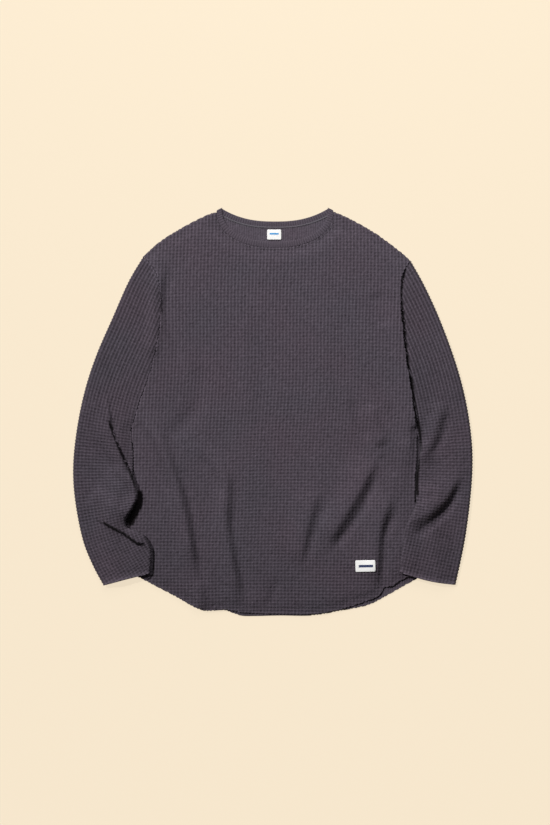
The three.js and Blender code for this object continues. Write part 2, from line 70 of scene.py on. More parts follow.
# Tones, where a pit is 0 and a rib is 1: the range, which reaches below a pit for painted shade
# and above a rib for painted light, and the painted shade and light that creases, grooves, edges,
# seams, the sleeves and the lower front get
BRIGHTEST = 2.2
DARKEST = -0.8
PLAIN_TONE = 0.5
# Painted shade at the bottom of creases, down to near black
CREASE_PAINTED_SHADE = 1.9
# Painted shade in the grooves of stitched lines and seams
GROOVE_PAINTED_SHADE = 0.4
# Painted light along seams, lightening the dark line that the seam gap and its turned normals
# shade
SEAM_PAINTED_LIGHT = 0.35
# Painted light along the rims of the hems and the cuffs, standing for light bounced up from the
# cream floor
FRONT_HEM_PAINTED_LIGHT = 0.6
BACK_HEM_PAINTED_LIGHT = 0.5
CUFF_PAINTED_LIGHT = 1.1
# Painted shade that makes the sleeves darker than the body
SLEEVE_PAINTED_SHADE = 0.12
# Painted shade that darkens the front towards the hem, where less light falls
LOW_PAINTED_SHADE = 0.12

# Turned hem and cuff: depth of the stitched line, and rounding of the edge.
# A stitched line and a seam lie in a groove.
HEM_DEPTH = 13.0
EDGE_ROUNDING = 1.6
GROOVE_DEPTH = 0.3
GROOVE_HALF_WIDTH = 1.3
SEAM_HALF_WIDTH = 2.0

# Folded edges: how much further in the hidden side of the cloth turns
INNER_TURN = 1.4

# Neck opening: half an oval in front, a shallow dip behind, and the step that finds its direction
NECK_X = 4.4
NECK_Y = 359.5
NECK_HALF_WIDTH = 93.5
NECK_FRONT_DROP = 58.5
NECK_FRONT_POWER = 2.3
NECK_BACK_DROP = 22.5
NECK_BACK_POWER = 2.5
NECK_BAND = 10.5
NECK_FOLD_ANGLE = 0.44
NECK_STEP = 0.002

# Outline of the body, each point as x, y
SHOULDER_RIGHT = [(-228, 275), (-198, 302), (-156, 328), (-121, 346)]
SHOULDER_LEFT = [(244, 267), (224, 285), (182, 316), (140, 340)]
ARMHOLE_RIGHT = [
    (-228, 275), (-211, 256), (-200, 228), (-196, 188),
    (-202, 128), (-219, 61), (-236, 14), (-249, -32),
]
ARMHOLE_LEFT = [
    (244, 267), (231, 247), (225, 216), (228, 163),
    (235, 98), (243, 48), (249, 4), (254, -34),
]
SIDE_RIGHT = [
    (-254, -281), (-261, -242), (-265, -201), (-261, -164),
    (-251, -137), (-246, -112), (-245, -75), (-249, -32),
]
SIDE_LEFT = [
    (268, -286), (265, -245), (259, -207), (254, -172),
    (252, -140), (252, -110), (255, -75), (254, -34),
]
HEM_START = [(-254, -281), (-212, -303), (-170, -325), (-138, -343), (-115, -350)]
HEM_FRONT = [
    *HEM_START, (-85, -348), (-50, -353), (13, -356), (70, -356), (119, -348), (168, -332),
    (182, -327), (193, -317), (197, -309), (211, -306), (235, -292), (268, -286),
]
HEM_BACK = [
    *HEM_START, (-85, -349), (-57, -358), (-30, -359), (13, -358), (70, -358), (119, -350),
    (168, -340), (200, -324), (232, -306), (268, -286),
]

# Sleeves: outer fold from the shoulder to the cuff, inner edge from the armpit to the cuff.
# Between climb_from and climb_to the sleeve climbs from beside the body onto it. Between the
# two values of flush its inner edge lies level with the body, without a rolled fold.
SLEEVE_RIGHT = {
    "name": "sleeve_right",
    "sign": -1,
    "armhole": ARMHOLE_RIGHT,
    "side": SIDE_RIGHT,
    "climb_from": -84,
    "climb_to": -114,
    "flush": (-120, 12),
    "outer": [
        (-228, 275), (-254, 231), (-282, 168), (-311, 101), (-332, 36), (-346, -34),
        (-352, -99), (-348, -158), (-335, -224), (-317, -270), (-298, -305),
    ],
    "inner": [
        (-249, -32), (-246, -75), (-246, -109), (-239, -134), (-237, -150), (-245, -168),
        (-257, -188), (-256, -202), (-240, -207), (-222, -220), (-213, -245), (-216, -283),
    ],
    "cuff": [(-298, -305), (-262, -295), (-238, -289), (-216, -283)],
}
SLEEVE_LEFT = {
    "name": "sleeve_left",
    "sign": 1,
    "armhole": ARMHOLE_LEFT,
    "side": SIDE_LEFT,
    "climb_from": -118,
    "climb_to": -158,
    "flush": (-60, 20),
    "outer": [
        (244, 267), (268, 224), (295, 165), (323, 89), (341, 22), (351, -43),
        (353, -96), (349, -154), (341, -216), (332, -263), (323, -304),
    ],
    "inner": [
        (254, -34), (258, -50), (261, -66), (258, -82), (253, -110), (252, -140), (252, -160),
        (243, -182), (234, -200), (229, -224), (226, -256), (223, -281),
    ],
    "cuff": [(323, -304), (293, -300), (264, -294), (223, -281)],
}

# Folds. Columns: height over the cloth around it, half width on the left and on the right
# of someone walking the path, and the path as x, y.
BODY_FOLDS = [
    (9, 11, 15, [(-226, 10), (-180, -95), (-156, -175), (-137, -290)]),
    (7, 10, 16, [(-125, -62), (-84, -112), (-82, -190), (-60, -345)]),
    (4, 12, 12, [(-129, -290), (-129, -325), (-127, -352)]),
    (4, 9, 24, [(82, -128), (62, -190), (47, -270)]),
    (7, 11, 28, [(182, -72), (150, -138), (90, -236)]),
    (7, 11, 22, [(212, -135), (190, -195), (180, -305)]),
    (-3, 15, 15, [(-135, 95), (-131, 15), (-188, -50)]),
    (-2, 18, 18, [(182, 215), (198, 150)]),
    (5, 10, 12, [(170, 18), (181, -22), (196, -62)]),
    (-3, 9, 9, [(138, 30), (151, -13), (170, -52)]),
    (-3, 9, 9, [(200, 20), (219, -17), (237, -61)]),
    (-4, 8, 10, [(-177, 268), (-186, 198), (-172, 124), (-159, 75)]),
    (-3, 8, 8, [(-228, -25), (-210, -61), (-186, -124), (-172, -149)]),
    (-3.5, 8, 9, [(-193, -61), (-154, -133), (-135, -224), (-115, -325)]),
    (-3, 9, 9, [(-66, -149), (-70, -221), (-45, -309), (-36, -344)]),
    (-2.5, 8, 8, [(-131, -71), (-98, -119), (-84, -154)]),
    (-2, 9, 9, [(-12, -350), (2, -318), (10, -290)]),
    (-3, 8, 10, [(96, -154), (75, -207), (59, -260)]),
    (-3.5, 8, 9, [(184, -104), (166, -154), (140, -198), (105, -246)]),
    (-3.5, 8, 8, [(219, -168), (198, -216), (194, -260), (194, -306)]),
    (-2, 8, 8, [(186, -74), (202, -92), (219, -110)]),
    (-1.6, 9, 9, [(-125, 332), (-98, 320), (-72, 308)]),
    (-1.6, 9, 9, [(150, 312), (122, 324), (100, 334)]),
    (1.5, 20, 20, [(-60, 200), (-40, 90), (-52, -30)]),
    (1.5, 24, 20, [(80, 210), (96, 110), (70, -20)]),
]
SEAM_FOLDS = [
    (7, 13, 12, [(-203, 262), (-206, 190), (-214, 85)]),
    (4, 26, 26, [(244, 255), (226, 190), (240, 60), (255, -120)]),
]
SLEEVE_RIGHT_FOLDS = [
    (6.5, 1.6, 22, [
        (-291, 40), (-284, -25), (-268, -66), (-247, -112),
        (-236, -142), (-245, -170), (-264, -212),
    ]),
    (6, 14, 26, [(-322, -135), (-285, -165), (-252, -178)]),
    (4, 20, 1.6, [(-318, -180), (-294, -196), (-261, -214), (-236, -231), (-216, -236)]),
    (-3, 8, 8, [(-316, -40), (-290, -89), (-263, -131)]),
    (-2.5, 8, 8, [(-325, -131), (-309, -177), (-291, -201)]),
    (2, 14, 14, [(-300, 130), (-316, 60), (-325, -20)]),
]
SLEEVE_LEFT_FOLDS = [
    (7.5, 13, 30, [(330, -100), (298, -155), (232, -196)]),
    (5, 13, 15, [(300, 25), (280, -50), (258, -92)]),
    (-5, 8, 9, [(332, -112), (316, -158), (282, -194), (247, -221)]),
    (-3, 8, 9, [(309, 4), (298, -45), (274, -80)]),
    (-2.5, 8, 8, [(258, -148), (272, -150), (288, -146)]),
    (2, 14, 14, [(300, 150), (318, 80), (330, 10)]),
]

# Narrow creases, with painted shade along their bottom. The body rows are only 0.5 mm deep: their
# darkness is painted shadow, under the sleeve's lip and beside the cuff. Columns: depth, half
# width, and the path as x, y.
BODY_PAINTED_SHADOW_CREASES = [
    (0.5, 6.5, [(-238, -134), (-234, -152), (-240, -172), (-249, -190), (-253, -201)]),
    (0.5, 1.2, [(-211, -236), (-209, -250), (-211, -286), (-224, -296)]),
]
SLEEVE_RIGHT_CREASES = [
    (4.5, 2.0, [(-289, -8), (-284, -25), (-268, -66), (-247, -112), (-238, -136)]),
    (4.5, 2.3, [(-300, -190), (-290, -198), (-261, -214), (-236, -231), (-222, -231)]),
]
SLEEVE_LEFT_CREASES = [
    (6, 3.2, [
        (240, 285), (226, 216), (230, 163), (236, 98),
        (245, 48), (253, -4), (260, -40), (259, -72),
    ]),
    (3, 3, [(258, -72), (255, -110), (254, -150)]),
]

# Labels: centre, size and turn in radians
NECK_LABEL = {
    "name": "neck_label", "x": 3.0, "y": 313.5, "width": 25.0, "height": 18.0, "turn": 0.0,
}
HEM_LABEL = {
    "name": "hem_label", "x": 163.5, "y": -270.0, "width": 35.0, "height": 20.5, "turn": 0.035,
}
LABEL_CLOTH = 0.8

# The frame is centred on its own box, so the tables above move by this much
band_low, band_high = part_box("neckband")
SHIFT_X = 500 * (band_low.x + band_high.x) - NECK_X
SHIFT_Y = 1000 * band_low.y - (NECK_Y - NECK_FRONT_DROP - NECK_BAND)


# Small arithmetic
def lerp(a, b, t):
    return a + (b - a) * t


def ease(t):
    c = np.clip(t, 0.0, 1.0)
    return c * c * (3.0 - 2.0 * c)


def soft_positive(h):
    return 0.5 * (h + np.sqrt(h * h + 0.25))


def bump_at(distance, centre, half_width):
    return np.exp(-(((distance - centre) / half_width) ** 2))


def roll_over(distance, radius):
    return np.sqrt(np.clip(1.0 - np.clip(1.0 - distance / radius, 0.0, 1.0) ** 2, 0.0, 1.0))


def unit(ways):
    return ways / np.hypot(ways[:, :1], ways[:, 1:])


# Smooth chain of points through a few points
def smooth_chain(points, spans=14):
    given = np.array(points, float)
    last = len(given) - 1
    t = np.arange(spans)[:, None] / spans
    parts = []
    for i in range(last):
        a, b, c, d = given[max(i - 1, 0)], given[i], given[i + 1], given[min(i + 2, last)]
        bend = 2 * a - 5 * b + 4 * c - d
        twist = 3 * b - a - 3 * c + d
        parts.append(0.5 * (2 * b + (c - a) * t + bend * t**2 + twist * t**3))
    parts.append(given[last:])
    return np.vstack(parts)


def running_length(chain):
    steps = np.hypot(*np.diff(chain, axis=0).T)
    return np.concatenate([[0.0], np.cumsum(steps)])


def along(chain, lengths):
    run = running_length(chain)
    return np.interp(lengths, run, chain[:, 0]), np.interp(lengths, run, chain[:, 1])


# Nearest place on a chain: distance, share of its length, side (1 is left) and the place itself
def nearest_on(chain, x, y):
    run = running_length(chain)
    away = np.full(x.shape, 1e9)
    share = np.zeros(x.shape)
    side = np.ones(x.shape)
    foot_x = np.zeros(x.shape)
    foot_y = np.zeros(x.shape)
    for k in range(len(chain) - 1):
        ax, ay = chain[k]
        dx, dy = chain[k + 1] - chain[k]
        square = dx * dx + dy * dy
        if square == 0:
            continue
        t = np.clip(((x - ax) * dx + (y - ay) * dy) / square, 0, 1)
        px = ax + t * dx
        py = ay + t * dy
        here = np.hypot(x - px, y - py)
        closer = here < away
        away[closer] = here[closer]
        share[closer] = lerp(run[k], run[k + 1], t[closer]) / run[-1]
        side[closer] = np.where(dx * (y - ay) - dy * (x - ax) > 0, 1, -1)[closer]
        foot_x[closer] = px[closer]
        foot_y[closer] = py[closer]
    return away, share, side, foot_x, foot_y


def distance_to(chains, x, y):
    return np.min([nearest_on(chain, x, y)[0] for chain in chains], axis=0)


def is_inside(outline, x, y):
    inside = np.zeros(x.shape, bool)
    for (ax, ay), (bx, by) in zip(outline, np.roll(outline, -1, axis=0)):
        if ay != by:
            crosses = (ay > y) != (by > y)
            inside ^= crosses & (x < ax + (y - ay) * (bx - ax) / (by - ay))
    return inside


# Height of folds over the cloth around them
def fold_heights(folds, x, y):
    total = np.zeros(x.shape)
    for height, left, right, path in folds:
        away, share, side, _, _ = nearest_on(smooth_chain(path, 8), x, y)
        across = away / np.where(side > 0, left, right)
        ends = ease(share / 0.25) * ease((1 - share) / 0.2)
        total += height * (0.12 + 0.88 * ends) * np.exp(-across * across)
    return total


# Depth of creases, and how strongly their painted shade falls at each point, most at their bottom
def crease_cuts(creases, x, y):
    depth = np.zeros(x.shape)
    painted_crease_shade = np.zeros(x.shape)
    for deepest, half_width, path in creases:
        away, share, _, _, _ = nearest_on(smooth_chain(path, 8), x, y)
        here = np.exp(-((away / half_width) ** 4)) * ease(share / 0.15) * ease((1 - share) / 0.1)
        depth = np.maximum(depth, deepest * here)
        painted_crease_shade = np.maximum(painted_crease_shade, here)
    return depth, painted_crease_shade


# Slow unevenness of cloth that was smoothed by hand
def hand_waves(x, y):
    return (
        0.35 * np.sin(x / 31 + y / 57)
        + 0.3 * np.sin(x / 19 - y / 43 + 1.3)
        + 0.25 * np.sin(y / 23 + x / 71 + 0.4)
    )


# Neck curves: free edge and the way outward across the band
def neck_edge(share, on_front):
    across = -np.cos(np.pi * share)
    if on_front:
        x = NECK_X + NECK_HALF_WIDTH * np.sign(across) * np.abs(across) ** (2 / NECK_FRONT_POWER)
        y = NECK_Y - NECK_FRONT_DROP * np.sin(np.pi * share) ** (2 / NECK_FRONT_POWER)
    else:
        x = NECK_X + NECK_HALF_WIDTH * across
        y = NECK_Y - NECK_BACK_DROP * (1 - np.abs(across) ** NECK_BACK_POWER)
    return np.stack([x, y], axis=-1)


def neck_way(share, on_front):
    before = neck_edge(np.maximum(share - NECK_STEP, 0), on_front)
    after = neck_edge(np.minimum(share + NECK_STEP, 1), on_front)
    run = unit(after - before)
    square = np.stack([run[:, 1], -run[:, 0]], axis=-1)
    folded_x = np.where(share > 0.5, 1, -1) * math.cos(NECK_FOLD_ANGLE)
    folded = np.stack([folded_x, np.full(share.shape, -math.sin(NECK_FOLD_ANGLE))], axis=-1)
    toward_fold = ease(1 - np.minimum(share, 1 - share) / 0.12)[:, None]
    return unit(lerp(square, folded, toward_fold))


def neck_curve(on_front, reach, stations=64):
    share = np.linspace(0, 1, stations + 1)
    return neck_edge(share, on_front) + neck_way(share, on_front) * reach


# Outline of a panel, all round
def shoulder_chain(points, neck_point):
    return smooth_chain([*points, tuple(neck_point)])


def panel_outline(hem, on_front):
    neck = neck_curve(on_front, NECK_BAND + SEAM_GAP)
    parts = [
        smooth_chain(SIDE_RIGHT),
        smooth_chain(ARMHOLE_RIGHT)[::-1],
        shoulder_chain(SHOULDER_RIGHT, neck[0]),
        neck,
        shoulder_chain(SHOULDER_LEFT, neck[-1])[::-1],
        smooth_chain(ARMHOLE_LEFT),
        smooth_chain(SIDE_LEFT)[::-1],
        smooth_chain(hem)[::-1],
    ]
    return np.vstack([part[:-1] for part in parts])


low_edges = [
    smooth_chain(SIDE_RIGHT),
    smooth_chain(SIDE_LEFT),
    smooth_chain(SHOULDER_RIGHT),
    smooth_chain(SHOULDER_LEFT),
    neck_curve(True, NECK_BAND + SEAM_GAP, 24),
]
front_neck_ends = neck_curve(True, NECK_BAND + SEAM_GAP)
fold_edges = [
    smooth_chain(SIDE_RIGHT[:5]),
    smooth_chain(SIDE_LEFT[:5]),
    shoulder_chain(SHOULDER_RIGHT, front_neck_ends[0]),
    shoulder_chain(SHOULDER_LEFT, front_neck_ends[-1]),
]


# Upper side of the front panel
def body_height(x, y):
    edge = distance_to(low_edges, x, y)
    hem = nearest_on(smooth_chain(HEM_FRONT), x, y)[0]
    loft = LOFT * ease(edge / 26) * ease((hem + 6) / 34)
    rise = fold_heights(BODY_FOLDS, x, y) + fold_heights(SEAM_FOLDS, x, y) + hand_waves(x, y)
    return FLAT + soft_positive(loft + rise * ease(edge / 16))


# Points from layers of x, y and z
def points_of(*layers):
    return np.vstack([np.stack([part.ravel() for part in layer], 1) for layer in layers])


# Ids at the four corners of every square of a grid, in turn round the square
def corners_of(ids):
    return [part.ravel() for part in (ids[:-1, :-1], ids[:-1, 1:], ids[1:, 1:], ids[1:, :-1])]


# Two triangles for each set of four corners
def halves(a, b, c, d):
    return np.vstack([np.stack([a, b, c], 1), np.stack([a, c, d], 1)])


# Faces of a tube with closed ends, over rings of points
def tube_faces(rings, around):
    s, k = np.meshgrid(np.arange(rings - 1), np.arange(around), indexing="ij")
    a = (s * around + k).ravel()
    b = (s * around + (k + 1) % around).ravel()
    last = (rings - 1) * around
    caps = [(0, n + 1, n) for n in range(1, around - 1)]
    caps += [(last, last + n, last + n + 1) for n in range(1, around - 1)]
    return np.vstack([halves(a, b, b + around, a + around), np.array(caps)])


# Knit laid out on a grid and trimmed to an outline
class Knit:
    def __init__(self, columns, rows, lay_out, outline, seed):
        i, j = np.meshgrid(np.arange(*columns), np.arange(*rows))
        self.shape = i.shape
        self.u = i * CELL_WIDTH / CELL_NODES
        self.v = j * CELL_HEIGHT / CELL_NODES
        x, y = lay_out(self.u, self.v)
        closed = np.vstack([outline, outline[:1]])
        away, _, _, foot_x, foot_y = nearest_on(closed, x, y)
        signed = np.where(is_inside(outline, x, y), away, -away)
        reach = SNAP_SHARE * CELL_WIDTH / CELL_NODES
        self.kept = signed > -reach
        snapped = self.kept & (signed < reach)
        safe = np.where(np.abs(signed) < 1e-6, 1e9, signed)
        self.inward_x = (x - foot_x) / safe
        self.inward_y = (y - foot_y) / safe
        self.x = np.where(snapped, foot_x, x)
        self.y = np.where(snapped, foot_y, y)
        self.rib_up = i % CELL_NODES == 0
        self.rib_across = j % CELL_NODES == 0
        self.fine_rib = i % 2 == 0
        self.uneven = np.random.default_rng(seed).normal(0, UNEVEN_RIB, self.shape)
        self.faces = self.fill()
        self.rim, self.on_rim = self.find_rim()

    def fill(self):
        ids = np.arange(self.kept.size).reshape(self.shape)
        a, b, c, d = corners_of(ids)
        kept = self.kept.ravel()
        count = kept[a].astype(int) + kept[b] + kept[c] + kept[d]
        full = count == 4
        faces = [halves(a[full], b[full], c[full], d[full])]
        for missing, trio in ((a, (b, c, d)), (b, (a, c, d)), (c, (a, b, d)), (d, (a, b, c))):
            chosen = (count == 3) & ~kept[missing]
            faces.append(np.stack(trio, 1)[chosen])
        return np.vstack(faces)

    def find_rim(self):
        edges = np.vstack([self.faces[:, [0, 1]], self.faces[:, [1, 2]], self.faces[:, [2, 0]]])
        key = np.sort(edges, axis=1) @ np.array([self.kept.size, 1])
        _, first, count = np.unique(key, return_index=True, return_counts=True)
        rim = edges[first[count == 1]]
        on_rim = np.zeros(self.kept.size, bool)
        on_rim[rim.ravel()] = True
        return rim, on_rim.reshape(self.shape)

    # How high each node stands between pit and rib, where ribs across have their own share
    def rib_share(self, across):
        return (1 - across) * self.rib_up + across * self.rib_across + self.uneven

    # Node that stands for each node where the cloth can be coarse: one for each cell
    def coarse(self, fine):
        ids = np.arange(self.kept.size).reshape(self.shape)
        rows = self.shape[0] // CELL_NODES
        columns = self.shape[1] // CELL_NODES
        inner = (slice(0, rows * CELL_NODES), slice(0, columns * CELL_NODES))
        free = (self.kept & ~self.on_rim & ~fine)[inner]
        whole = free.reshape(rows, CELL_NODES, columns, CELL_NODES).all(axis=(1, 3))
        middle = CELL_NODES // 2
        centre = ids[inner].reshape(rows, CELL_NODES, columns, CELL_NODES)[:, middle, :, middle]
        spread = np.ones((CELL_NODES, CELL_NODES), int)
        stand = ids.copy()
        stand[inner] = np.where(np.kron(whole, spread) > 0, np.kron(centre, spread), ids[inner])
        return stand.ravel()


def without_slivers(faces):
    a, b, c = faces.T
    return faces[(a != b) & (b != c) & (c != a)]


def add_object(name, data):
    made = bpy.data.objects.new(name, data)
    bpy.context.scene.collection.objects.link(made)
    return made


# Mesh object from points in millimetres, each with its place in the cloth and its rib share, which
# carries the painted shade and painted light of the tone
def make_object(name, points, faces, cloth_place, rib, materials, face_material=None):
    used, faces = np.unique(faces, return_inverse=True)
    faces = faces.reshape(-1, 3)
    places = (points[used] + np.array([SHIFT_X, SHIFT_Y, 0.0])) / 1000
    mesh = bpy.data.meshes.new(name)
    mesh.from_pydata(places.tolist(), [], faces.tolist())
    mesh.polygons.foreach_set("use_smooth", np.ones(len(faces), bool))
    uv = mesh.uv_layers.new(name="cloth")
    uv.data.foreach_set("uv", (cloth_place[used] / 10)[faces.ravel()].ravel())
    tones = np.maximum(rib[used], DARKEST) / BRIGHTEST
    # The rib attribute holds the tone together with its painted shade and painted light
    attribute = mesh.attributes.new("rib", "FLOAT", "POINT")
    attribute.data.foreach_set("value", tones.astype(np.float32))
    for material in materials:
        mesh.materials.append(material)
    if face_material is not None:
        mesh.polygons.foreach_set("material_index", face_material)
    mesh.update()
    return add_object(name, mesh)


# One layer of cloth over a grid, joined round the rim. Its heights, the nodes that stand for
# each node and its rib shares are pairs, of the upper and the lower side.
def cloth_layer(name, knit, heights, stands, ribs):
    count = knit.kept.size
    top = without_slivers(stands[0][knit.faces])
    bottom = without_slivers(stands[1][knit.faces])[:, ::-1] + count
    a, b = knit.rim.T
    side = halves(b, a, a + count, b + count)
    place = np.stack([knit.u.ravel(), knit.v.ravel()], 1)
    return make_object(
        name,
        points_of(*[(knit.x, knit.y, height) for height in heights]),
        np.vstack([top, bottom, side]),
        np.vstack([place, place]),
        np.concatenate([rib.ravel() for rib in ribs]),
        [waffle_knit],
    )


# Materials: casts of the uneven dye, and height of the threads in metres
SLATE_CAST = (0.955, 1.0, 1.0, 1)
PLUM_CAST = (1.025, 0.985, 1.0, 1)
THREAD_HEIGHT = 0.0002


def new_material(name):
    made = bpy.data.materials.new(name)
    made.use_nodes = True
    nodes = made.node_tree.nodes
    nodes.clear()
    output = nodes.new("ShaderNodeOutputMaterial")
    shader = nodes.new("ShaderNodeBsdfPrincipled")
    made.node_tree.links.new(shader.outputs["BSDF"], output.inputs["Surface"])
    return made, shader


# A socket is linked to an input, and a value is set on it
def set_inputs(tree, node, inputs):
    for key, value in inputs.items():
        if isinstance(value, bpy.types.NodeSocket):
            tree.links.new(value, node.inputs[key])
        else:
            node.inputs[key].default_value = value


def add_node(material, kind, settings, inputs):
    node = material.node_tree.nodes.new(kind)
    for key, value in settings.items():
        setattr(node, key, value)
    set_inputs(material.node_tree, node, inputs)
    return node


def add_noise(material, vector, scale, detail, roughness=0.5):
    inputs = {"Vector": vector, "Scale": scale, "Detail": detail, "Roughness": roughness}
    return add_node(material, "ShaderNodeTexNoise", {}, inputs).outputs["Fac"]


def add_math(material, operation, first, second):
    inputs = {0: first, 1: second}
    return add_node(material, "ShaderNodeMath", {"operation": operation}, inputs).outputs["Value"]


def add_bump(material, height, strength):
    inputs = {"Height": height, "Strength": strength, "Distance": THREAD_HEIGHT}
    return add_node(material, "ShaderNodeBump", {}, inputs).outputs["Normal"]


def mix_colours(material, factor, dark, light):
    settings = {"data_type": "RGBA", "clamp_factor": False}
    node = add_node(material, "ShaderNodeMix", settings, {})
    sockets = {socket.identifier: socket for socket in node.inputs}
    for socket, value in (("Factor_Float", factor), ("A_Color", dark), ("B_Color", light)):
        if isinstance(value, bpy.types.NodeSocket):
            material.node_tree.links.new(value, sockets[socket])
        else:
            sockets[socket].default_value = value
    return next(socket for socket in node.outputs if socket.identifier == "Result_Color")


def knit_material(name, pit, rib, yarn, yarn_bump):
    made, shader = new_material(name)
    places = add_node(made, "ShaderNodeTexCoord", {}, {}).outputs
    ribs = add_node(made, "ShaderNodeAttribute", {"attribute_name": "rib"}, {})
    # The pit colour is painted shade in the pits. The mix runs past both ends: below the pit
    # colour for painted shade in creases and grooves, up to the brightest for painted light on
    # rims and seams
    brightest = [lerp(low, high, BRIGHTEST) for low, high in zip(pit, rib)]
    base = mix_colours(made, ribs.outputs["Fac"], (*pit, 1), (*brightest, 1))
    heather = add_noise(made, places["Object"], 420.0, 3.0, 0.65)
    patches = add_noise(made, places["Object"], 9.0, 2.0)
    fibres = add_noise(made, places["UV"], 26.0, 4.0, 0.7)
    flecks = add_node(
        made, "ShaderNodeMapRange", {},
        {"Value": heather, "From Min": 0.3, "From Max": 0.7, "To Min": 0.8, "To Max": 1.2},
    )
    shades = add_node(
        made, "ShaderNodeMapRange", {}, {"Value": patches, "From Min": 0.32, "From Max": 0.68}
    )
    hues = mix_colours(made, shades.outputs["Result"], SLATE_CAST, PLUM_CAST)
    toned = add_node(made, "ShaderNodeVectorMath", {"operation": "MULTIPLY"}, {0: base, 1: hues})
    tinted = add_node(
        made, "ShaderNodeVectorMath", {"operation": "SCALE"},
        {0: toned.outputs["Vector"], "Scale": flecks.outputs["Result"]},
    )
    loops = add_node(
        made, "ShaderNodeTexWave", {"wave_type": "BANDS", "bands_direction": "DIAGONAL"},
        {"Vector": places["UV"], "Scale": yarn, "Distortion": 2.5, "Detail": 1.0},
    )
    relief = add_math(made, "ADD", loops.outputs["Fac"], fibres)
    set_inputs(made.node_tree, shader, {
        "Base Color": tinted.outputs["Vector"],
        "Normal": add_bump(made, relief, yarn_bump),
        "Roughness": 0.95,
        "Specular IOR Level": 0.08,
        "Sheen Weight": 0.05,
        "Sheen Roughness": 0.6,
        "Sheen Tint": (0.85, 0.8, 0.88, 1),
    })
    return made


def label_material(name, colour, thread_contrast):
    made, shader = new_material(name)
    places = add_node(made, "ShaderNodeTexCoord", {}, {}).outputs
    weft = add_node(
        made, "ShaderNodeTexWave", {"wave_type": "BANDS", "bands_direction": "Y"},
        {"Vector": places["UV"], "Scale": 7.0, "Distortion": 0.4},
    )
    grain = add_noise(made, places["UV"], 18.0, 3.0)
    both = add_math(made, "MULTIPLY", weft.outputs["Fac"], grain)
    shade = tuple(value * (1 - thread_contrast) for value in colour)
    set_inputs(made.node_tree, shader, {
        "Base Color": mix_colours(made, both, (*shade, 1), (*colour, 1)),
        "Normal": add_bump(made, both, 0.35),
        "Roughness": 0.7,
        "Specular IOR Level": 0.3,
    })
    return made


# Columns: name, colour in the pits, which is painted shade in the pits, colour on the ribs, scale
# and strength of the yarn
KNITS = [
    ("waffle_knit", (0.044, 0.0355, 0.0445), (0.095, 0.0775, 0.097), 3.0, 0.5),
    ("plain_knit", (0.043, 0.0345, 0.0435), (0.091, 0.0745, 0.0925), 4.5, 0.6),
    ("seam_thread", (0.05, 0.042, 0.052), (0.19, 0.175, 0.195), 9.0, 0.6),
]
# Columns: name, colour, and how much darker the threads lie below it
WOVEN = [
    ("woven_label", (0.86, 0.85, 0.83), 0.12),
    ("navy_bar", (0.03, 0.045, 0.12), 0.3),
    ("blue_bar", (0.05, 0.33, 0.7), 0.3),
]
waffle_knit, plain_knit, seam_thread = [knit_material(*row) for row in KNITS]
white_tape, navy_bar, blue_bar = [label_material(*row) for row in WOVEN]


# Slight lean and drift of the grain of a cloth that was laid down by hand
def body_grain(u, v):
    x = u + NECK_X + 0.03 * v + 1.6 * np.sin(v / 83 + 0.5) + 0.9 * np.sin(v / 37 + u / 160)
    y = v + 1.3 * np.sin(u / 92 + 1.0) + 0.7 * np.sin(u / 41 - v / 150)
    return x, y


# Share that the ribs across have in the look of the knit, which grows down the body
def body_ribs_across(y):
    return lerp(0.33, 0.55, ease((150 - y) / 400))


# Where the inner side of the back shows: at the neck, and where its hem hangs lower
def back_shown(to_neck, to_hem, x):
    at_right_hem = (to_hem < 20) & (x > 120)
    at_left_hem = (to_hem < 8) & (x > -70) & (x < 0)
    return (to_neck < 75) | at_right_hem | at_left_hem


BODY_COLUMNS = (-144, 147)
BODY_ROWS = (-184, 180)
SIDE_MIDDLE = FLAT / 2
SIDE_RADIUS = 4.0


